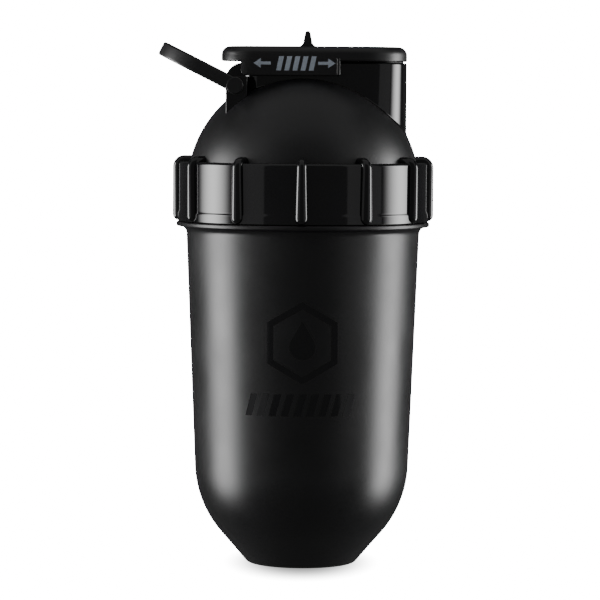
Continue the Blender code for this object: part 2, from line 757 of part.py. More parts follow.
def main():
    clear_scene()
    parts = new_collection("protein_shaker_bottle")
    cutters = new_collection("cutters")
    matte = plastic("matte_black", (0.012, 0.012, 0.013), 0.5)
    gloss = plastic("gloss_black", (0.008, 0.008, 0.009), 0.1)
    satin = plastic("satin_black", (0.012, 0.012, 0.013), 0.35)
    silicone = plastic("dark_silicone", (0.03, 0.03, 0.032), 0.6)
    pieces = [
        make_cup(parts, cutters, matte),
        make_dome(parts, cutters, matte),
        make_collar(parts, cutters, gloss),
        make_gasket(parts, silicone),
        make_tower(parts, cutters, gloss),
        make_cap(parts, cutters, satin),
        make_seal(parts, silicone),
        make_loop(parts, cutters, satin),
        make_pin(parts, satin),
    ]
    for piece in pieces:
        shade_round(piece)


main()
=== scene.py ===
from math import acos, asin, atan2, cos, pi, radians, sin, sqrt, tan

import bmesh
import bpy
import numpy as np
from mathutils import Matrix, Vector


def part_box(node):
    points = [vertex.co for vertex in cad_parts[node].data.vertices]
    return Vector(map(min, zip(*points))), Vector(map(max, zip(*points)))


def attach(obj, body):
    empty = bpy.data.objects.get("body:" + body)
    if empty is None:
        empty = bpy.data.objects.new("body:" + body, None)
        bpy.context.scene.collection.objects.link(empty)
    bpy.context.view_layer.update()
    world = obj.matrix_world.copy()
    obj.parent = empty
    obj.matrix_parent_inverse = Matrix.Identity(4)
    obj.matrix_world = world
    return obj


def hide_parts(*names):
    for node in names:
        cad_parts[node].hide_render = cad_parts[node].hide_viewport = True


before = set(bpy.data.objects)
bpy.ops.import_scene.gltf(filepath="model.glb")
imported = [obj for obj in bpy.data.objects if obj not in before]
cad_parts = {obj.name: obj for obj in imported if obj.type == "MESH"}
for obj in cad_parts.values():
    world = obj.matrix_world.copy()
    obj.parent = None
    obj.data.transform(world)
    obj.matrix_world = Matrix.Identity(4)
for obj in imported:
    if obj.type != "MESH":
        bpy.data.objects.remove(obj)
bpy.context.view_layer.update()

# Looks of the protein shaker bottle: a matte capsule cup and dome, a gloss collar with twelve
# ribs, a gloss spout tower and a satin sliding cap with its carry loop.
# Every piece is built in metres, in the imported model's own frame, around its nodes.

MM = 0.001

# ---- Places read from the frame
lip_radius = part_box("cup_body")[1].x
neck_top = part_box("cup_body")[1].z
collar_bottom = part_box("lid_collar")[0].z
plug_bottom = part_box("lid_dome")[0].z
flange_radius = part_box("lid_dome")[1].x
tower_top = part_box("spout_tower")[1].z
tower_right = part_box("spout_tower")[1].x
knuckle_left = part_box("spout_tower")[0].x
lug_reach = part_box("spout_tower")[1].y
cap_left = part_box("slide_cap")[0].x
cap_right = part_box("slide_cap")[1].x
cap_half_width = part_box("slide_cap")[1].y
skirt_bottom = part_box("slide_cap")[0].z
fin_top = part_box("slide_cap")[1].z
arm_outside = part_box("carry_loop")[1].y
pin_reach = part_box("loop_pin")[1].y
pin_radius = (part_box("loop_pin")[1].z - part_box("loop_pin")[0].z) / 2
pivot_x = (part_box("loop_pin")[0].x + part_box("loop_pin")[1].x) / 2
pivot_z = (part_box("loop_pin")[0].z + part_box("loop_pin")[1].z) / 2

# ---- Gaps and joins
SEAT_GAP = 0.3 * MM          # between two pieces that rest on each other
SLIDE_GAP = 0.4 * MM         # between two pieces that slide or turn on each other
JOIN_STEP = 0.05 * MM        # set-back where two joined shapes would share a face
BURIED = 1.0 * MM            # how far a joined shape reaches into its neighbour

# ---- Cup
BOWL_RADIUS = 42.7 * MM
FOOT_CUT = 2.2 * MM
WALL_TAPER = radians(2.3)
CUP_WALL = 2.4 * MM
CUP_BASE = 2.6 * MM
NECK_WALL = 1.9 * MM
FOOT_CONE = radians(41.0)
FOOT_EDGE = 3.0 * MM
PAD_RADIUS = 9.0 * MM        # pad in the middle of the foot, inside its groove
GROOVE_WIDTH = 5.0 * MM
GROOVE_DEPTH = 0.6 * MM
LIP_THICKNESS = 1.8 * MM
LIP_EDGE = 0.6 * MM
LIP_FILLET = 3.0 * MM
FINE_EDGE = 0.25 * MM        # rounding of the foot's groove and of the neck's foot
THREAD_RIDGE = 1.2 * MM
THREAD_LEAD = 5.0 * MM
THREAD_TURNS = 1.25

# ---- Lid
DOME_RISE = 13.5 * MM        # the dome's centre above the lip
DOME_INSET = 1.0 * MM        # from the flange's rim to the dome's widest side
DOME_WALL = 2.0 * MM
FLANGE_THICKNESS = 2.6 * MM
PLUG_DEPTH = 5.0 * MM
PLUG_WALL = 1.2 * MM
PLUG_EDGE = 0.3 * MM
GASKET_WIDTH = 2.9 * MM
GASKET_EDGE = 0.4 * MM
COLLAR_INSET = 1.4 * MM      # from the collar's bore to the dome's widest side
COLLAR_WALL = 1.9 * MM
COLLAR_EDGE = 0.3 * MM       # rounding of its two bottom edges
SHOULDER_THICKNESS = 2.1 * MM
SHOULDER_EDGE = 1.2 * MM
SHOULDER_LIP = 0.4 * MM      # rounding of its edge beside the dome
HEM_HEIGHT = 4.2 * MM
HEM_STEP = 0.4 * MM
HEM_SLOPE = 1.0 * MM         # height over which the hem thickens
HEM_BLEND = 2.5 * MM
RIB_COUNT = 12
RIB_TURN = radians(-0.7)     # how far past the front the first rib stands, screwed tight
RIB_HEIGHT = 2.35 * MM
RIB_TOP_WIDTH = 2.1 * MM     # half widths of a rib at its two ends
RIB_LOW_WIDTH = 2.5 * MM
RIB_BEND = 2.3 * MM
RIB_SINK = 0.6               # depth of its buried side, as a share of its half width

# ---- Tower, cap and loop
PIVOT_OUT = 2.0 * MM         # from the tower's left end to the loop's pin
TOWER_HALF_WIDTH = 16.4 * MM
TOWER_CORNER = 9.0 * MM
TOWER_EDGE = 0.8 * MM
TOWER_WALL = 2.6 * MM
TOWER_ROOF = 2.4 * MM
TOWER_STAND = 0.1 * MM       # the foot of its walls, off the dome
DOME_OPENING = 1.3 * MM      # the dome is open this far inside the tower's outline
SPIGOT_WALL = 1.4 * MM       # thinner wall that passes through the dome
SPIGOT_DEPTH = 1.5 * MM      # how far it reaches below the dome's inner face
SEAM_FLARE = 0.45 * MM       # small fillet where the tower stands on the dome
KNUCKLE_RADIUS = 6.8 * MM
KNUCKLE_HALF_WIDTH = 13.0 * MM
KNUCKLE_EDGE = 0.8 * MM
KNUCKLE_SINK = 0.9           # how far it reaches in, as a share of the tower's wall
LUG_RADIUS = 3.6 * MM
LUG_LENGTH = 4.9 * MM        # from the pin to the lugs' inner side
LUG_OVERLAP = 2.0 * MM       # how far each lug reaches into the knuckle
LUG_EDGE = 0.5 * MM
MOUTH_INSET = 3.0 * MM
MOUTH_LENGTH = 15.8 * MM
MOUTH_SIDE = 4.4 * MM
MOUTH_EDGE = 0.5 * MM
TOUCH = 0.02 * MM            # from the tower's top to what slides on it
CAP_PAD_START = 7.5 * MM     # the two pads beside the seal, from the middle plane
CAP_PAD_END = 13.0 * MM
CAP_PAD_OVERLAP = 0.6 * MM   # how far they reach past the seal's left end
CAP_PAD_SINK = 0.5 * MM      # how far they reach up into the cap
CAP_PAD_EDGE = 0.1 * MM
SEAL_BORDER = 1.6 * MM       # how far the seal reaches past the mouth
SEAL_EDGE = 0.2 * MM
CAP_THICKNESS = 5.9 * MM
CAP_LIFT = 0.45 * MM
CAP_EDGE = 3.4 * MM
CAP_CORNER = 13.0 * MM       # rounding of its left corners, seen from above
CAP_LOWER_EDGE = 0.6 * MM
SKIRT_LENGTH = 39.2 * MM
SKIRT_INSET = 0.2 * MM
SKIRT_WALL = 1.1 * MM
SKIRT_CORNER = 2.2 * MM
SKIRT_EDGE = 0.35 * MM
SKIRT_SINK = 0.6 * MM        # how far it reaches up past the cap's lower edge
BEAD_RADIUS = 0.8 * MM       # upright bead at the skirt's right end
BEAD_INSET = 0.45 * MM       # its middle, in from the cap's side
FIN_X = 1.5 * MM
FIN_TIP = 1.15 * MM
FIN_ROOT = 1.7 * MM
FIN_FILLET = 2.2 * MM
FIN_HALF_WIDTH = 11.0 * MM
FIN_EDGE = 0.5 * MM
LOOP_ANGLE = radians(26.7)
LOOP_BAR = 4.0 * MM
LOOP_HEIGHT = 5.7 * MM
LOOP_CORNER = 17.0 * MM      # outer rounding of the corners at its tip
LOOP_EDGE = 0.9 * MM
HUB_RADIUS = 3.4 * MM
HUB_STEP = 0.12 * MM         # the hub's faces stand off the bar by this much
HUB_EDGE = 0.5 * MM
PIN_EDGE = 0.3 * MM

# ---- Print
CAP_PRINT_RISE = 2.0 * MM    # lower edge of the bars, above the skirt's
CAP_BAR_HEIGHT = 5.6 * MM
ARROW_RISE = 1.0 * MM        # lower edge of the arrows, above the bars'
ARROW_HEIGHT = 3.8 * MM
ARROW_LENGTH = 6.8 * MM
LEFT_ARROW = 5.0 * MM        # its tip, from the skirt's left end
RIGHT_ARROW = 2.0 * MM       # its tip, from the skirt's right end
EMBLEM_HEIGHT = 91.0 * MM    # its middle, above the foot
EMBLEM_OUTSIDE = 16.0 * MM
EMBLEM_INSIDE = 13.2 * MM
DROP_RADIUS = 5.0 * MM

# ---- Plastic
DRIFT_SCALE = 45.0           # slow change of tone and roughness
SPECK_SCALE = 1400.0         # fine specks over it
SPECK_SHARE = 0.35
DARK_TONE = 0.8              # darkest and palest tone, as shares of the plain one
PALE_TONE = 1.25
ROUGHNESS_DRIFT = 0.1        # share by which the roughness goes up and down

# ---- Studio
WHITE = 18.0                 # brightness of the white floor and backdrop
ROOM_LIGHT = 0.05            # dark room behind the bottle
FRONT_LIGHT = 0.13           # dim card around the camera
FILL_LIGHT = 0.42            # dim cards between it and the softboxes, and overhead
LOW_LIGHT = 0.12             # dim card under the floor, which it shines through
LEFT_LIGHT = 15.5            # softboxes
RIGHT_LIGHT = 13.5
SHADOW_START = 0.016         # the floor's shade fades out between these distances to the front
SHADOW_END = 0.062
SHADOW_NARROW = 1.85         # how many times shorter it is to the sides
SHADOW_DEPTH = 3.7           # its strength, as a power of e
SOFTBOX_AWAY = 0.6           # either side of the bottle
SOFTBOX_LEFT = -0.03         # middle of each one along Y
SOFTBOX_RIGHT = 0.07
SOFTBOX_WIDTH = 0.49
SOFTBOX_HEIGHT = 0.75
SOFTBOX_FADE = 0.22          # share of its height that fades out at each end
CARD_FOOT = -0.30            # the cards start below the floor
CARD_HEIGHT = 1.8
CARDS_LEFT = -0.67
CARDS_RIGHT = 0.80
CARDS_FRONT = -0.95
FILL_LEFT_RUN = (-0.1, 0.75, 0.0)       # the fill cards run back from the front card's ends
FILL_RIGHT_RUN = (-0.05, 0.80, 0.0)
TOP_CORNER = (-0.8, -0.9, 1.25)
TOP_WIDTH = 1.6
TOP_DEPTH = 1.3
LOW_CORNER = (-0.7, -0.9, CARD_FOOT - 0.02)
LOW_WIDTH = 1.4
LOW_DEPTH = 1.6
FLOOR_REACH = 4.0

# ---- Camera
CAMERA_LENS = 198.5          # millimetres, as the sensor
CAMERA_SENSOR = 36.0
CAMERA_REACH = 20.0
CAMERA_PLACE = (-0.96 * MM, -1319.4 * MM, 185.4 * MM)
CAMERA_DIP = 3.483           # degrees below the horizontal
CAMERA_ROLL = 0.347          # degrees

# ---- Fineness
TURN = 256                   # pieces around a turned shape
ROUND = 8                    # pieces in a small rounding
HOLD = 0.04 * MM             # row beside a rounding that keeps the flat next to it flat
INK = 0.03 * MM              # how far print stands off its surface

lip_top = collar_bottom - SEAT_GAP
bowl_centre = BOWL_RADIUS - FOOT_CUT
dome_centre = lip_top + DOME_RISE
dome_radius = flange_radius - DOME_INSET
collar_inside = dome_radius + COLLAR_INSET
collar_outside = collar_inside + COLLAR_WALL
flange_bottom = plug_bottom + PLUG_DEPTH
flange_top = flange_bottom + FLANGE_THICKNESS
shoulder_bottom = flange_top + SLIDE_GAP
shoulder_top = shoulder_bottom + SHOULDER_THICKNESS
cap_bottom = tower_top + CAP_LIFT
cap_top = cap_bottom + CAP_THICKNESS
tower_left = pivot_x + PIVOT_OUT
skirt_left = tower_left + SKIRT_INSET
skirt_right = skirt_left + SKIRT_LENGTH
mouth_x = tower_right - MOUTH_INSET - MOUTH_LENGTH / 2
mouth_half_width = TOWER_HALF_WIDTH - MOUTH_SIDE
arm_middle = arm_outside - LOOP_BAR / 2


# ---- Outlines
def arc(a, b, radius, start, end, steps=ROUND):
    """Points of an arc about (a, b), with angles in radians."""
    return [(a + radius * cos(t), b + radius * sin(t)) for t in np.linspace(start, end, steps + 1)]


def rounded(corners, steps=ROUND):
    """Outline through (a, b, radius) corners, each one rounded to its radius."""
    points = []
    count = len(corners)
    for i, (a, b, radius) in enumerate(corners):
        here = Vector((a, b))
        back = (Vector(corners[i - 1][:2]) - here).normalized()
        ahead = (Vector(corners[(i + 1) % count][:2]) - here).normalized()
        if radius == 0.0:
            points.append((a, b))
            continue
        half = acos(max(-1.0, min(1.0, back.dot(ahead)))) / 2
        centre = here + (back + ahead).normalized() * (radius / sin(half))
        first = here + back * (radius / tan(half)) - centre
        last = here + ahead * (radius / tan(half)) - centre
        start = atan2(first.y, first.x)
        sweep = (atan2(last.y, last.x) - start + pi) % (2 * pi) - pi
        points += arc(centre.x, centre.y, radius, start, start + sweep, steps)
    return points


def inset(outline, amount):
    """A closed outline, run anticlockwise, moved inwards by an amount."""
    points = np.array(outline)
    along = np.roll(points, -1, axis=0) - np.roll(points, 1, axis=0)
    inward = np.stack([-along[:, 1], along[:, 0]], axis=1)
    inward /= np.linalg.norm(inward, axis=1)[:, None]
    return points + inward * amount


def stadium(left, right, half_width, left_corner, steps=32):
    """Anticlockwise outline with a round right end and rounded corners at its left."""
    side = half_width - left_corner
    outline = arc(right - half_width, 0.0, half_width, -pi / 2, pi / 2, 2 * steps)
    outline += arc(left + left_corner, side, left_corner, pi / 2, pi, steps)
    lower = arc(left + left_corner, -side, left_corner, pi, 1.5 * pi, steps)
    return outline + (lower if side > 0.0 else lower[1:])


# ---- Shells
def shell(rows, ring=True, turn=False, ends=False):
    """Mesh through rows of points: ring joins each row's two ends, turn joins the last row to
    the first, and ends fills the first and the last row."""
    rows = np.array(rows, dtype=float)
    count, width = rows.shape[:2]
    index = np.arange(count * width).reshape(count, width)
    if ring:
        index = np.concatenate([index, index[:, :1]], axis=1)
    if turn:
        index = np.concatenate([index, index[:1]], axis=0)
    quads = np.stack([index[:-1, :-1], index[1:, :-1], index[1:, 1:], index[:-1, 1:]], axis=-1)
    faces = quads.reshape(-1, 4).tolist()
    if ends:
        faces.append(list(range(width)))
        faces.append(list(range((count - 1) * width, count * width)))
    mesh = bpy.data.meshes.new("shell")
    mesh.from_pydata(rows.reshape(-1, 3).tolist(), [], faces)
    tidy = bmesh.new()
    tidy.from_mesh(mesh)
    bmesh.ops.remove_doubles(tidy, verts=tidy.verts, dist=0.0001 * MM)
    bmesh.ops.recalc_face_normals(tidy, faces=tidy.faces)
    tidy.to_mesh(mesh)
    tidy.free()
    return mesh


def turned(profile, closed=True):
    """Shell turned about Z from (radius, height) points."""
    if closed:
        profile = profile + profile[:1]
    turns = np.linspace(0.0, 2 * pi, TURN, endpoint=False)
    rows = [[(r * sin(t), -r * cos(t), z) for r, z in profile] for t in turns]
    return shell(rows, ring=False, turn=True)


def slab(outline, low, high, low_edge, high_edge, stand=None):
    """Plate with a flat outline and rounded edges. stand turns (a, b, height) into a place."""
    levels = [(low_edge + HOLD, low)]
    for t in np.linspace(0.0, pi / 2, ROUND + 1):
        levels.append((low_edge * (1 - sin(t)), low + low_edge * (1 - cos(t))))
    for t in np.linspace(pi / 2, 0.0, ROUND + 1):
        levels.append((high_edge * (1 - sin(t)), high - high_edge * (1 - cos(t))))
    levels.append((high_edge + HOLD, high))
    rows = []
    for amount, level in levels:
        row = [(a, b, level) for a, b in inset(outline, amount)]
        rows.append([stand(*place) for place in row] if stand else row)
    return shell(rows, ends=True)


def across(x, z, y):
    """Stands a slab's outline upright, with its thickness along Y."""
    return (x, y, z)


def disc(radius, x=0.0, z=0.0):
    return [
        (x + radius * cos(t), z + radius * sin(t))
        for t in np.linspace(0.0, 2 * pi, 64, endpoint=False)
    ]


def piece(name, shells, material, body, stands_for=()):
    """One object from its shells, riding on a CAD body in place of CAD nodes."""
    whole = bmesh.new()
    for mesh in shells:
        whole.from_mesh(mesh)
        bpy.data.meshes.remove(mesh)
    mesh = bpy.data.meshes.new(name)
    whole.to_mesh(mesh)
    whole.free()
    mesh.shade_smooth()
    mesh.set_sharp_from_angle(angle=radians(38))
    mesh.materials.append(material)
    thing = bpy.data.objects.new(name, mesh)
    bpy.context.scene.collection.objects.link(thing)
    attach(thing, body)
    if stands_for:
        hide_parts(*stands_for)
    return thing


# ---- Materials
def add_node(tree, kind, **inputs):
    node = tree.nodes.new(kind)
    for name, value in inputs.items():
        node.inputs[name.replace("_", " ")].default_value = value
    return node


def plastic(name, tone, roughness, grain, depth):
    """Moulded plastic: its tone and roughness drift slowly, over a fine surface grain of a
    given width and depth."""
    material = bpy.data.materials.new(name)
    material.use_nodes = True
    tree = material.node_tree
    shader = tree.nodes["Principled BSDF"]
    place = tree.nodes.new("ShaderNodeTexCoord")
    drift = add_node(tree, "ShaderNodeTexNoise", Scale=DRIFT_SCALE, Detail=4.0, Roughness=0.55)
    specks = add_node(tree, "ShaderNodeTexNoise", Scale=SPECK_SCALE, Detail=2.0, Roughness=0.6)
    fine = add_node(tree, "ShaderNodeTexNoise", Scale=1.0 / grain, Detail=3.0, Roughness=0.6)
    for noise in (drift, specks, fine):
        tree.links.new(place.outputs["Object"], noise.inputs["Vector"])
    mixed = tree.nodes.new("ShaderNodeMath")
    mixed.operation = "MULTIPLY_ADD"
    mixed.inputs[1].default_value = SPECK_SHARE
    tree.links.new(specks.outputs["Fac"], mixed.inputs[0])
    tree.links.new(drift.outputs["Fac"], mixed.inputs[2])
    colour = tree.nodes.new("ShaderNodeValToRGB")
    dark, pale = colour.color_ramp.elements
    dark.position = 0.45
    dark.color = (*[DARK_TONE * channel for channel in tone], 1.0)
    pale.position = 0.9
    pale.color = (*[PALE_TONE * channel for channel in tone], 1.0)
    tree.links.new(mixed.outputs[0], colour.inputs["Fac"])
    tree.links.new(colour.outputs["Color"], shader.inputs["Base Color"])
    rough = tree.nodes.new("ShaderNodeMapRange")
    rough.inputs["From Min"].default_value = 0.3
    rough.inputs["From Max"].default_value = 0.7
    rough.inputs["To Min"].default_value = (1.0 - ROUGHNESS_DRIFT) * roughness
    rough.inputs["To Max"].default_value = (1.0 + ROUGHNESS_DRIFT) * roughness
    tree.links.new(drift.outputs["Fac"], rough.inputs["Value"])
    tree.links.new(rough.outputs["Result"], shader.inputs["Roughness"])
    bump = tree.nodes.new("ShaderNodeBump")
    bump.inputs["Strength"].default_value = 1.0
    bump.inputs["Distance"].default_value = depth
    tree.links.new(fine.outputs["Fac"], bump.inputs["Height"])
    tree.links.new(bump.outputs["Normal"], shader.inputs["Normal"])
    return material


def glow(name, strength):
    """Even light or white."""
    material = bpy.data.materials.new(name)
    material.use_nodes = True
    tree = material.node_tree
    tree.nodes.clear()
    light = add_node(tree, "ShaderNodeEmission", Strength=strength)
    out = tree.nodes.new("ShaderNodeOutputMaterial")
    tree.links.new(light.outputs[0], out.inputs["Surface"])
    return material


def soft_glow(name, strength):
    """Light of a softbox: brightest along its middle, and faded at its ends."""
    material = glow(name, strength)
    tree = material.node_tree
    light = next(node for node in tree.nodes if node.type == "EMISSION")
    place = tree.nodes.new("ShaderNodeTexCoord")
    parts = tree.nodes.new("ShaderNodeSeparateXYZ")
    tree.links.new(place.outputs["Generated"], parts.inputs[0])
    level = None
    for axis, fade in (("Y", 0.5), ("Z", SOFTBOX_FADE)):
        for start, end in ((0.0, fade), (1.0, 1.0 - fade)):
            ramp = tree.nodes.new("ShaderNodeMapRange")
            ramp.interpolation_type = "SMOOTHSTEP"
            ramp.inputs["From Min"].default_value = start
            ramp.inputs["From Max"].default_value = end
            tree.links.new(parts.outputs[axis], ramp.inputs["Value"])
            level = multiplied(tree, level, ramp.outputs["Result"])
    tree.links.new(multiplied(tree, level, strength), light.inputs["Strength"])
    return material


def multiplied(tree, first, second):
    """Product of an output and another output or a number."""
    if first is None:
        return second
    product = tree.nodes.new("ShaderNodeMath")
    product.operation = "MULTIPLY"
    tree.links.new(first, product.inputs[0])
    if isinstance(second, float):
        product.inputs[1].default_value = second
    else:
        tree.links.new(second, product.inputs[1])
    return product.outputs[0]


# ---- Cup
def wall_radius(height):
    start = bowl_centre - BOWL_RADIUS * sin(WALL_TAPER)
    return BOWL_RADIUS * cos(WALL_TAPER) + (height - start) * tan(WALL_TAPER)


def helix_ridge(radius, start_height, steps=120):
    """Round thread ridge on a wall of that radius."""
    rows = []
    for i in range(steps + 1):
        turn = 2 * pi * THREAD_TURNS * i / steps
        height = start_height + THREAD_LEAD * THREAD_TURNS * i / steps
        size = THREAD_RIDGE * sin(pi * min(1.0, 8 * i / steps, 8 * (steps - i) / steps) / 2)
        ring = arc(radius, height, size, 0.0, 2 * pi, 16)[:-1]
        rows.append([(r * cos(turn), r * sin(turn), z) for r, z in ring])
    return shell(rows)


def make_cup(material):
    cone_r = BOWL_RADIUS * cos(FOOT_CONE)
    cone_z = bowl_centre - BOWL_RADIUS * sin(FOOT_CONE)
    groove_out = PAD_RADIUS + GROOVE_WIDTH
    lip_bottom = lip_top - LIP_THICKNESS
    wall_end = wall_radius(lip_bottom - LIP_FILLET)
    inside = wall_end - CUP_WALL
    inner_radius = BOWL_RADIUS - CUP_WALL
    profile = [(0.0, 0.0)] + rounded([
        (PAD_RADIUS, 0.0, FINE_EDGE),
        (PAD_RADIUS + GROOVE_DEPTH, GROOVE_DEPTH, FINE_EDGE),
        (groove_out - GROOVE_DEPTH, GROOVE_DEPTH, FINE_EDGE),
        (groove_out, 0.0, FINE_EDGE),
        (cone_r - cone_z * tan(FOOT_CONE), 0.0, FOOT_EDGE),
        (cone_r, cone_z, 0.0),
    ])
    profile += arc(0.0, bowl_centre, BOWL_RADIUS, -FOOT_CONE, -WALL_TAPER, 64)[1:]
    profile += rounded([
        (wall_end, lip_bottom - LIP_FILLET, 0.0),
        (wall_end, lip_bottom, LIP_FILLET),
        (lip_radius, lip_bottom, LIP_EDGE),
        (lip_radius, lip_top, LIP_EDGE),
        (inside + NECK_WALL, lip_top, FINE_EDGE),
        (inside + NECK_WALL, neck_top, 2 * FINE_EDGE),
        (inside, neck_top, 2 * FINE_EDGE),
        (inside, lip_bottom - LIP_FILLET, 0.0),
    ])
    profile += arc(0.0, CUP_BASE + inner_radius, inner_radius, -WALL_TAPER, -pi / 2, 48)
    thread = helix_ridge(inside + NECK_WALL, lip_top + THREAD_LEAD)
    shells = [turned(profile, closed=False), thread]
    return piece("cup", shells, material, "cup", ["cup_body"])


# ---- Dome and collar
def dome_reach(height, radius):
    return sqrt(radius ** 2 - (height - dome_centre) ** 2)


def make_dome(material):
    """The dome is left open where the tower stands on it."""
    inner = dome_radius - DOME_WALL
    plug_out = wall_radius(lip_top - LIP_THICKNESS - LIP_FILLET) - CUP_WALL - SLIDE_GAP
    plug_in = plug_out - PLUG_WALL
    low = asin((flange_top - dome_centre) / dome_radius)
    profile = arc(0.0, dome_centre, dome_radius, pi / 2, low, 110)
    profile += rounded([
        (flange_radius, flange_top, 0.0),
        (flange_radius, flange_bottom, 0.0),
        (plug_out, flange_bottom, 0.0),
        (plug_out, plug_bottom, PLUG_EDGE),
        (plug_in, plug_bottom, PLUG_EDGE),
    ])
    profile += arc(0.0, dome_centre, inner, acos(plug_in / inner), pi / 2, 70)
    mesh = turned(profile, closed=False)
    opening = bmesh.new()
    opening.from_mesh(mesh)
    covered = [face for face in opening.faces if under_tower(face.calc_center_median())]
    bmesh.ops.delete(opening, geom=covered, context="FACES")
    opening.to_mesh(mesh)
    opening.free()
    return piece("dome", [mesh], material, "lid", ["lid_dome"])


def under_tower(place):
    """Whether a place is inside the tower's outline by more than the opening's margin."""
    room = DOME_OPENING
    half_width = TOWER_HALF_WIDTH - room
    bend = tower_right - TOWER_HALF_WIDTH
    if place.z < dome_centre or place.x < tower_left + room:
        return False
    if place.x > bend:
        return (place.x - bend) ** 2 + place.y ** 2 < half_width ** 2
    corner_x = max(0.0, tower_left + TOWER_CORNER - place.x)
    corner_y = max(0.0, abs(place.y) - (TOWER_HALF_WIDTH - TOWER_CORNER))
    return abs(place.y) < half_width and corner_x ** 2 + corner_y ** 2 < (TOWER_CORNER - room) ** 2


def rib_stations():
    """Middle line of a rib with its outward direction and its half width and height."""
    top = shoulder_top
    start = dome_reach(top, dome_radius) - BURIED
    bend_r = collar_outside - RIB_BEND
    bend_z = top - RIB_BEND
    foot = collar_bottom + RIB_LOW_WIDTH
    stations = [(start, top, pi / 2, 0.0), (bend_r, top, pi / 2, 0.0)]
    for t in np.linspace(pi / 2, 0.0, 17)[1:]:
        stations.append((bend_r + RIB_BEND * cos(t), bend_z + RIB_BEND * sin(t), t, 0.0))
    for share in np.linspace(0.0, 1.0, 25)[1:]:
        stations.append((collar_outside, bend_z + share * (foot - bend_z), 0.0, share))
    rows = []
    for r, z, lean, share in stations:
        width = RIB_TOP_WIDTH + share * (RIB_LOW_WIDTH - RIB_TOP_WIDTH)
        rows.append((r, z, lean, width, RIB_HEIGHT))
    for t in np.linspace(0.0, pi / 2, 11)[1:-1]:
        rows.append((collar_outside, foot - RIB_LOW_WIDTH * sin(t), 0.0,
                     RIB_LOW_WIDTH * cos(t), RIB_HEIGHT * cos(t)))
    return rows


def make_rib(turn, stations):
    rows = []
    for r, z, lean, width, height in stations:
        row = []
        for t in np.linspace(0.0, 2 * pi, 40, endpoint=False):
            out = height * cos(t) if cos(t) > 0 else RIB_SINK * width * cos(t)
            reach = r + out * cos(lean)
            side = width * sin(t)
            row.append((
                reach * cos(turn) - side * sin(turn),
                reach * sin(turn) + side * cos(turn),
                z + out * sin(lean),
            ))
        rows.append(row)
    return shell(rows, ends=True)


def make_collar(material):
    hem = collar_outside + HEM_STEP
    hem_top = collar_bottom + HEM_HEIGHT
    clear = dome_radius + SLIDE_GAP
    ring = turned(rounded([
        (dome_reach(shoulder_top, clear), shoulder_top, SHOULDER_LIP),
        (collar_outside, shoulder_top, SHOULDER_EDGE),
        (collar_outside, hem_top, HEM_BLEND),
        (hem, hem_top - HEM_SLOPE, HEM_BLEND),
        (hem, collar_bottom, COLLAR_EDGE),
        (collar_inside, collar_bottom, COLLAR_EDGE),
        (collar_inside, shoulder_bottom, 0.0),
        (dome_reach(shoulder_bottom, clear), shoulder_bottom, 0.0),
    ]))
    stations = rib_stations()
    turns = [2 * pi * i / RIB_COUNT - pi / 2 + RIB_TURN for i in range(RIB_COUNT)]
    ribs = [make_rib(turn, stations) for turn in turns]
    thread = helix_ridge(collar_inside, lip_top + THREAD_LEAD / 2)
    return piece("collar", [ring, thread] + ribs, material, "collar", ["lid_collar"])


def make_gasket(material):
    low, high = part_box("rim_gasket")
    outer = high.x
    inner = outer - GASKET_WIDTH
    edge = GASKET_EDGE
    ring = turned(rounded([
        (inner, low.z, edge), (outer, low.z, edge), (outer, high.z, edge), (inner, high.z, edge),
    ]))
    return piece("gasket", [ring], material, "lid", ["rim_gasket"])


# ---- Spout tower
def tower_outline(amount):
    return inset(stadium(tower_left, tower_right, TOWER_HALF_WIDTH, TOWER_CORNER), amount)


def dome_height(x, y, radius):
    return dome_centre + sqrt(max(0.0, radius ** 2 - x ** 2 - y ** 2))


def mouth_row(outline, grow, level):
    """Oval of the mouth, with a point facing each point of the tower's outline."""
    row = []
    for x, y in outline:
        turn = atan2(y, x - mouth_x)
        row.append((
            mouth_x + (MOUTH_LENGTH / 2 + grow) * cos(turn),
            (mouth_half_width + grow) * sin(turn),
            level,
        ))
    return row


def make_tower(material):
    foot = dome_radius + TOWER_STAND
    outline = tower_outline(0.0)
    rows = []
    for t in np.linspace(0.0, pi / 2, ROUND + 1):
        flare = SEAM_FLARE * (1 - sin(t))
        lift = SEAM_FLARE * (1 - cos(t))
        rows.append([(x, y, dome_height(x, y, foot) + lift) for x, y in tower_outline(-flare)])
    for t in np.linspace(0.0, pi / 2, ROUND + 1):
        level = tower_top - TOWER_EDGE * (1 - sin(t))
        rows.append([(x, y, level) for x, y in tower_outline(TOWER_EDGE * (1 - cos(t)))])
    rows.append([(x, y, tower_top) for x, y in tower_outline(TOWER_EDGE + HOLD)])
    rim = MOUTH_EDGE
    rows.append(mouth_row(outline, rim + HOLD, tower_top))
    for t in np.linspace(0.0, pi / 2, ROUND + 1):
        rows.append(mouth_row(outline, rim * (1 - sin(t)), tower_top - rim * (1 - cos(t))))
    roof = tower_top - TOWER_ROOF
    rows.append(mouth_row(outline, 0.0, roof))
    rows.append([(x, y, roof) for x, y in tower_outline(TOWER_WALL)])
    under = dome_radius - DOME_WALL - SPIGOT_DEPTH
    rows.append([(x, y, dome_height(x, y, under)) for x, y in tower_outline(TOWER_WALL)])
    spigot = tower_outline(TOWER_WALL - SPIGOT_WALL)
    rows.append([(x, y, dome_height(x, y, under)) for x, y in spigot])
    rows.append([(x, y, dome_height(x, y, foot)) for x, y in spigot])
    walls = shell(rows, turn=True)
    shells = [walls, make_knuckle(), make_lug(-1), make_lug(1)]
    return piece("tower", shells, material, "lid", ["spout_tower"])


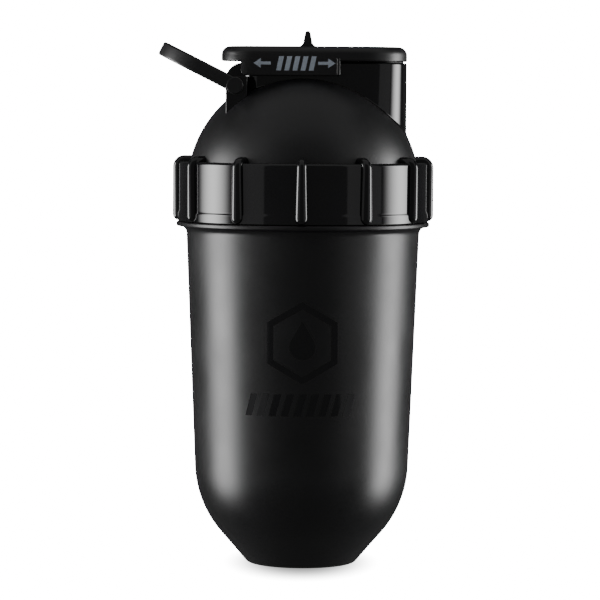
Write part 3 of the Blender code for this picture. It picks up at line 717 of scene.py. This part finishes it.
def hinge_block(upper, start, end, edge):
    """Block across the hinge, from an outline of its top and sides down into the dome's wall."""
    feet = np.linspace(upper[-1][0], upper[0][0], 15)
    outline = upper + [(x, dome_centre) for x in feet[1:-1]]
    curve = np.linspace(0.0, pi / 2, ROUND + 1)
    rounding = [(edge + HOLD, 0.0)] + [(edge * (1 - sin(t)), edge * (1 - cos(t))) for t in curve]
    levels = [(amount, start + depth) for amount, depth in rounding]
    levels += [(0.0, y) for y in np.linspace(start + edge, end - edge, 17)[1:-1]]
    levels += [(amount, end - depth) for amount, depth in reversed(rounding)]
    sunk = dome_radius - DOME_WALL / 2
    rows = []
    for amount, y in levels:
        rows.append([(x, y, max(z, dome_height(x, y, sunk))) for x, z in inset(outline, amount)])
    return shell(rows, ends=True)


def make_knuckle():
    """Hinge block: round at its top left, and just below the tower's top."""
    middle_x = knuckle_left + KNUCKLE_RADIUS
    middle_z = tower_top - SLIDE_GAP / 2 - KNUCKLE_RADIUS
    inner_x = tower_left + KNUCKLE_SINK * TOWER_WALL
    top = arc(middle_x, middle_z, KNUCKLE_RADIUS, pi / 2, pi, 24)
    upper = [(inner_x, dome_centre), (inner_x, top[0][1])] + top + [(knuckle_left, dome_centre)]
    return hinge_block(upper, -KNUCKLE_HALF_WIDTH, KNUCKLE_HALF_WIDTH, KNUCKLE_EDGE)


def make_lug(side):
    """One of the two lugs that hold the pin: round about it at the left."""
    inner_x = pivot_x + LUG_LENGTH
    round_side = arc(pivot_x, pivot_z, LUG_RADIUS, pi / 2, pi, 16)
    upper = [(inner_x, dome_centre), (inner_x, pivot_z + LUG_RADIUS)] + round_side
    upper.append((pivot_x - LUG_RADIUS, dome_centre))
    start, end = sorted((side * (KNUCKLE_HALF_WIDTH - LUG_OVERLAP), side * lug_reach))
    return hinge_block(upper, start, end, LUG_EDGE)


# ---- Sliding cap
def cap_side(x, amount):
    """Distance from the middle plane to the cap's side, moved inwards by an amount."""
    bend = cap_left + CAP_CORNER
    if x >= bend:
        return cap_half_width - amount
    return cap_half_width - CAP_CORNER + sqrt((CAP_CORNER - amount) ** 2 - (bend - x) ** 2)


def skirt(side):
    """Skirt that follows the cap's side, with rounded corners and edges."""
    edge = SKIRT_EDGE
    top = cap_bottom + CAP_LOWER_EDGE + SKIRT_SINK
    stations = []
    for t in np.linspace(0.0, pi / 2, ROUND + 1):
        stations.append((edge * (1 - cos(t)), SKIRT_CORNER, edge * (1 - sin(t))))
    for t in np.linspace(0.0, pi / 2, 2 * ROUND + 1)[1:]:
        stations.append((SKIRT_CORNER * (1 - cos(t)), SKIRT_CORNER * (1 - sin(t)), 0.0))
    left = [(skirt_left + x, rise, pinch) for x, rise, pinch in stations]
    middle = [(x, 0.0, 0.0) for x in np.linspace(skirt_left + SKIRT_CORNER, 0.0, 24)[1:]]
    right = [(skirt_right - x, rise, pinch) for x, rise, pinch in reversed(stations)]
    rows = []
    for x, rise, pinch in left + middle + right:
        low = skirt_bottom + rise
        outer = -pinch
        inner = -SKIRT_WALL + pinch
        bend = min(edge, (outer - inner) / 2)
        section = [(inner, top), (inner, low + bend)]
        section += arc(inner + bend, low + bend, bend, pi, 1.5 * pi)
        section += arc(outer - bend, low + bend, bend, 1.5 * pi, 2 * pi)
        section += [(outer, top)]
        reach = cap_side(x, JOIN_STEP)
        rows.append([(x, side * (reach + a), z) for a, z in section])
    return shell(rows, ends=True)


def bead(side):
    """Upright half-round bead that closes the skirt's right end."""
    rows = []
    x = skirt_right - BEAD_RADIUS
    y = side * (cap_half_width - BEAD_INSET)
    foot = skirt_bottom + BEAD_RADIUS
    for t in np.linspace(pi / 2, 0.0, ROUND + 1):
        rows.append((BEAD_RADIUS * cos(t) + HOLD, foot - BEAD_RADIUS * sin(t)))
    rows.append((BEAD_RADIUS, cap_bottom + BURIED))
    turns = np.linspace(0.0, 2 * pi, 24, endpoint=False)
    return shell([[(x + r * cos(t), y + r * sin(t), z) for t in turns] for r, z in rows], ends=True)


def make_fin():
    """Thumb fin: round tip, sloping sides and hollow fillets onto the cap."""
    out = FIN_ROOT + FIN_FILLET
    fillet_z = cap_top + FIN_FILLET - HOLD
    outline = [(FIN_X - out, cap_top - BURIED), (FIN_X + out, cap_top - BURIED)]
    outline += arc(FIN_X + out, fillet_z, FIN_FILLET, -pi / 2, -pi, 12)
    outline += arc(FIN_X, fin_top - FIN_TIP, FIN_TIP, 0.0, pi, 20)
    outline += arc(FIN_X - out, fillet_z, FIN_FILLET, 0.0, -pi / 2, 12)
    return slab(outline, -FIN_HALF_WIDTH, FIN_HALF_WIDTH, FIN_EDGE, FIN_EDGE, across)


def make_cap_pad(side):
    """Low pad under the cap, beside the seal's left end, which closes the line of sight there."""
    left = skirt_right - BEAD_RADIUS
    right = mouth_x - MOUTH_LENGTH / 2 - SEAL_BORDER + CAP_PAD_OVERLAP
    low, high = sorted((side * CAP_PAD_START, side * CAP_PAD_END))
    outline = [(left, low), (right, low), (right, high), (left, high)]
    top = cap_bottom + CAP_PAD_SINK
    return slab(outline, tower_top + TOUCH, top, CAP_PAD_EDGE, CAP_PAD_EDGE)


def make_cap(material):
    outline = stadium(cap_left, cap_right, cap_half_width, CAP_CORNER)
    plate = slab(outline, cap_bottom, cap_top, CAP_LOWER_EDGE, CAP_EDGE)
    shells = [plate, make_fin()]
    for side in (-1, 1):
        shells += [skirt(side), bead(side), make_cap_pad(side)]
    return piece("cap", shells, material, "slider", ["slide_cap"])


def make_seal(material):
    """Soft pad under the cap, which rests on the tower around the mouth."""
    foot = tower_top + TOUCH
    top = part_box("slide_seal")[1].z
    outline = [(x, y) for x, y, z in mouth_row(tower_outline(0.0), SEAL_BORDER, foot)]
    pad = slab(outline, foot, top, SEAL_EDGE, SEAL_EDGE)
    return piece("seal", [pad], material, "slider", ["slide_seal"])


# ---- Carry loop and pin
def make_loop(material):
    tilt = sin(LOOP_ANGLE) * LOOP_HEIGHT / 2
    length = (pivot_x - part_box("carry_loop")[0].x - tilt) / cos(LOOP_ANGLE)
    corner_x = LOOP_CORNER - length
    corner_y = arm_outside - LOOP_CORNER
    reach = LOOP_CORNER - LOOP_BAR / 2
    half_bar = LOOP_BAR / 2 - HUB_STEP
    half_height = LOOP_HEIGHT / 2
    edge = LOOP_EDGE
    section = rounded([
        (half_bar, half_height, edge), (-half_bar, half_height, edge),
        (-half_bar, -half_height, edge), (half_bar, -half_height, edge),
    ])
    stations = [(0.0, arm_middle, 0.0, 1.0)]
    for middle, start in ((corner_y, pi / 2), (-corner_y, pi)):
        for t in np.linspace(start, start + pi / 2, 49):
            x = corner_x + reach * cos(t)
            y = middle + reach * sin(t)
            stations.append((x, y, cos(t), sin(t)))
    stations.append((0.0, -arm_middle, 0.0, -1.0))
    lean = Matrix.Translation((pivot_x, 0.0, pivot_z)) @ Matrix.Rotation(LOOP_ANGLE, 4, "Y")
    rows = []
    for x, y, out_x, out_y in stations:
        rows.append([tuple(lean @ Vector((x + a * out_x, y + a * out_y, b))) for a, b in section])
    shells = [shell(rows, ends=True)]
    for side in (-1, 1):
        ends = sorted((side * (arm_outside - LOOP_BAR), side * arm_outside))
        hub = disc(HUB_RADIUS, pivot_x, pivot_z)
        shells.append(slab(hub, *ends, HUB_EDGE, HUB_EDGE, across))
    return piece("loop", shells, material, "loop", ["carry_loop"])


def make_pin(material):
    outline = disc(pin_radius, pivot_x, pivot_z)
    rod = slab(outline, -pin_reach, pin_reach, PIN_EDGE, PIN_EDGE, across)
    return piece("pin", [rod], material, "lid", ["loop_pin"])


# ---- Print
def ribbon(first, second, place):
    """Thin print between two lines of (u, v) points, laid on a surface by place(u, v)."""
    first, second = np.array(first), np.array(second)
    lines = [first + share * (second - first) for share in np.linspace(0.0, 1.0, 7)]
    return shell([[place(u, v) for u, v in line] for line in lines], ring=False)


def spaced(points, steps=12):
    """The same line with extra points, so that print follows a curved surface."""
    fine = []
    for (a, b), (c, d) in zip(points, points[1:]):
        fine += [(a + (c - a) * i / steps, b + (d - b) * i / steps) for i in range(steps)]
    return fine + [points[-1]]


def slanted_bars(left, low, width, pitch, height, lean, count):
    """Pairs of lines for a row of slanted bars."""
    pairs = []
    for i in range(count):
        x = left + i * pitch
        pairs.append(([(x, low), (x + lean, low + height)],
                      [(x + width, low), (x + width + lean, low + height)]))
    return pairs


def arrow(tip, low, height, way, length):
    """Pairs of lines for an arrow that points left or right."""
    middle = low + height / 2
    head = height * 0.75
    neck = tip - way * head
    thick = height * 0.16
    pairs = [([(tip, middle), (neck, middle)], [(tip, middle), (neck, low + height)]),
             ([(tip, middle), (neck, middle)], [(tip, middle), (neck, low)])]
    tail = tip - way * length
    pairs.append(([(neck, middle - thick), (tail, middle - thick)],
                  [(neck, middle + thick), (tail, middle + thick)]))
    return pairs


def on_skirt(x, z):
    return (x, -cap_side(x, 0.0) - INK, z)


def on_cup(u, z):
    reach = wall_radius(z) + INK
    return (reach * sin(u / reach), -reach * cos(u / reach), z)


def make_slider_print(material):
    """Open and shut arrows either side of five slanted bars."""
    low = skirt_bottom + CAP_PRINT_RISE
    arrow_low = low + ARROW_RISE
    pairs = arrow(skirt_left + LEFT_ARROW, arrow_low, ARROW_HEIGHT, -1, ARROW_LENGTH)
    pairs += arrow(skirt_right - RIGHT_ARROW, arrow_low, ARROW_HEIGHT, 1, ARROW_LENGTH)
    pairs += slanted_bars(
        left=-10.9 * MM, low=low, width=1.9 * MM, pitch=3.2 * MM, height=CAP_BAR_HEIGHT,
        lean=1.2 * MM, count=5,
    )
    shells = [ribbon(spaced(a), spaced(b), on_skirt) for a, b in pairs]
    return piece("slider_print", shells, material, "slider")


def polygon(sides, radius, middle_z):
    return [
        (radius * sin(2 * pi * i / sides), middle_z + radius * cos(2 * pi * i / sides))
        for i in range(sides + 1)
    ]


def drop_half(side, middle):
    """Half of a plain drop: a round bottom that runs up into a point."""
    size = DROP_RADIUS
    round_part = arc(0.0, middle - 0.3 * size, size, -pi / 2, radians(30.0), 20)
    edge = spaced([round_part[-1], (0.0, middle + 1.7 * size)], 8)
    outside = [(side * u, z) for u, z in round_part + edge[1:]]
    return ribbon(outside, [(0.0, z) for u, z in outside], on_cup)


def make_cup_print(material):
    """Hexagon ring around a drop, over a row of slanted bars."""
    middle = EMBLEM_HEIGHT
    outer = spaced(polygon(6, EMBLEM_OUTSIDE, middle))
    inner = spaced(polygon(6, EMBLEM_INSIDE, middle))
    shells = [ribbon(outer, inner, on_cup)]
    shells += [drop_half(side, middle) for side in (-1, 1)]
    bars = slanted_bars(
        left=-23.0 * MM, low=62.5 * MM, width=2.8 * MM, pitch=4.9 * MM, height=8.6 * MM,
        lean=2.4 * MM, count=9,
    )
    for a, b in bars:
        shells.append(ribbon(spaced(a), spaced(b), on_cup))
    return piece("cup_print", shells, material, "cup")


# ---- Stage
def card(name, corner, along, up, material):
    """Flat studio card that the camera doesn't see."""
    corner, along, up = Vector(corner), Vector(along), Vector(up)
    mesh = bpy.data.meshes.new(name)
    mesh.from_pydata([corner, corner + along, corner + along + up, corner + up], [], [(0, 1, 2, 3)])
    mesh.materials.append(material)
    thing = bpy.data.objects.new(name, mesh)
    bpy.context.scene.collection.objects.link(thing)
    thing.visible_camera = False
    return thing


def make_floor():
    """White floor with a fixed soft shade around the bottle's foot, longer to front and back."""
    mesh = bpy.data.meshes.new("floor")
    reach = FLOOR_REACH
    corners = [(-reach, -reach, 0), (reach, -reach, 0), (reach, reach, 0), (-reach, reach, 0)]
    mesh.from_pydata(corners, [], [(0, 1, 2, 3)])
    floor = bpy.data.objects.new("floor", mesh)
    bpy.context.scene.collection.objects.link(floor)
    material = glow("floor_white", WHITE)
    tree = material.node_tree
    light = next(node for node in tree.nodes if node.type == "EMISSION")
    place = tree.nodes.new("ShaderNodeTexCoord")
    stretched = tree.nodes.new("ShaderNodeVectorMath")
    stretched.operation = "MULTIPLY"
    stretched.inputs[1].default_value = (SHADOW_NARROW, 1.0, 0.0)
    tree.links.new(place.outputs["Object"], stretched.inputs[0])
    away = tree.nodes.new("ShaderNodeVectorMath")
    away.operation = "LENGTH"
    tree.links.new(stretched.outputs["Vector"], away.inputs[0])
    fade = tree.nodes.new("ShaderNodeMapRange")
    fade.interpolation_type = "SMOOTHSTEP"
    fade.inputs["From Min"].default_value = SHADOW_START
    fade.inputs["From Max"].default_value = SHADOW_END
    fade.inputs["To Min"].default_value = -SHADOW_DEPTH
    fade.inputs["To Max"].default_value = 0.0
    tree.links.new(away.outputs["Value"], fade.inputs["Value"])
    shade = tree.nodes.new("ShaderNodeMath")
    shade.operation = "EXPONENT"
    tree.links.new(fade.outputs["Result"], shade.inputs[0])
    tree.links.new(multiplied(tree, shade.outputs[0], WHITE), light.inputs["Strength"])
    mesh.materials.append(material)
    floor.visible_diffuse = False
    floor.visible_glossy = False


def make_world():
    """White behind the bottle, and a dim even room around it."""
    world = bpy.data.worlds.new("room")
    bpy.context.scene.world = world
    world.use_nodes = True
    tree = world.node_tree
    back = tree.nodes["Background"]
    path = tree.nodes.new("ShaderNodeLightPath")
    level = tree.nodes.new("ShaderNodeMapRange")
    level.inputs["To Min"].default_value = ROOM_LIGHT
    level.inputs["To Max"].default_value = WHITE
    tree.links.new(path.outputs["Is Camera Ray"], level.inputs["Value"])
    tree.links.new(level.outputs["Result"], back.inputs["Strength"])
    back.inputs["Color"].default_value = (1.0, 1.0, 1.0, 1.0)


def make_softbox(name, x, middle, strength):
    corner = (x, middle - SOFTBOX_WIDTH / 2, CARD_FOOT)
    material = soft_glow(name + "_light", strength)
    card(name, corner, (0.0, SOFTBOX_WIDTH, 0.0), (0.0, 0.0, SOFTBOX_HEIGHT), material)


def make_studio():
    make_world()
    make_floor()
    make_softbox("softbox_left", -SOFTBOX_AWAY, SOFTBOX_LEFT, LEFT_LIGHT)
    make_softbox("softbox_right", SOFTBOX_AWAY, SOFTBOX_RIGHT, RIGHT_LIGHT)
    left, right, front = CARDS_LEFT, CARDS_RIGHT, CARDS_FRONT
    high = (0.0, 0.0, CARD_HEIGHT)
    fill = glow("fill", FILL_LIGHT)
    dim = glow("front", FRONT_LIGHT)
    under = glow("low", LOW_LIGHT)
    card("front_card", (left, front, CARD_FOOT), (right - left, 0.0, 0.0), high, dim)
    card("fill_left", (left, front, CARD_FOOT), FILL_LEFT_RUN, high, fill)
    card("fill_right", (right, front, CARD_FOOT), FILL_RIGHT_RUN, high, fill)
    card("top_card", TOP_CORNER, (TOP_WIDTH, 0.0, 0.0), (0.0, TOP_DEPTH, 0.0), fill)
    card("low_card", LOW_CORNER, (LOW_WIDTH, 0.0, 0.0), (0.0, LOW_DEPTH, 0.0), under)


def make_camera():
    camera = bpy.data.objects.new("camera", bpy.data.cameras.new("camera"))
    bpy.context.scene.collection.objects.link(camera)
    camera.data.lens = CAMERA_LENS
    camera.data.sensor_width = CAMERA_SENSOR
    camera.data.clip_end = CAMERA_REACH
    place = Matrix.Translation(CAMERA_PLACE)
    pitch = Matrix.Rotation(radians(90.0 - CAMERA_DIP), 4, "X")
    roll = Matrix.Rotation(radians(CAMERA_ROLL), 4, "Z")
    camera.matrix_world = place @ pitch @ roll
    bpy.context.scene.camera = camera


def main():
    matte = plastic("body_matte", (0.0102, 0.0102, 0.0110), 0.37, 0.35 * MM, 0.004 * MM)
    gloss = plastic("gloss_black", (0.0064, 0.0064, 0.0072), 0.07, 1.5 * MM, 0.001 * MM)
    satin = plastic("satin_black", (0.0108, 0.0108, 0.0116), 0.4, 0.3 * MM, 0.003 * MM)
    silicone = plastic("silicone", (0.03, 0.03, 0.032), 0.6, 0.4 * MM, 0.004 * MM)
    ink = plastic("pale_print", (0.46, 0.52, 0.60), 0.5, 0.2 * MM, 0.002 * MM)
    gloss_ink = plastic("gloss_print", (0.005, 0.005, 0.006), 0.12, 0.8 * MM, 0.001 * MM)
    make_cup(matte)
    make_dome(matte)
    make_collar(gloss)
    make_tower(gloss)
    make_cap(satin)
    make_loop(satin)
    make_pin(satin)
    make_slider_print(ink)
    make_cup_print(gloss_ink)
    make_gasket(silicone)
    make_seal(silicone)
    make_studio()
    make_camera()


main()
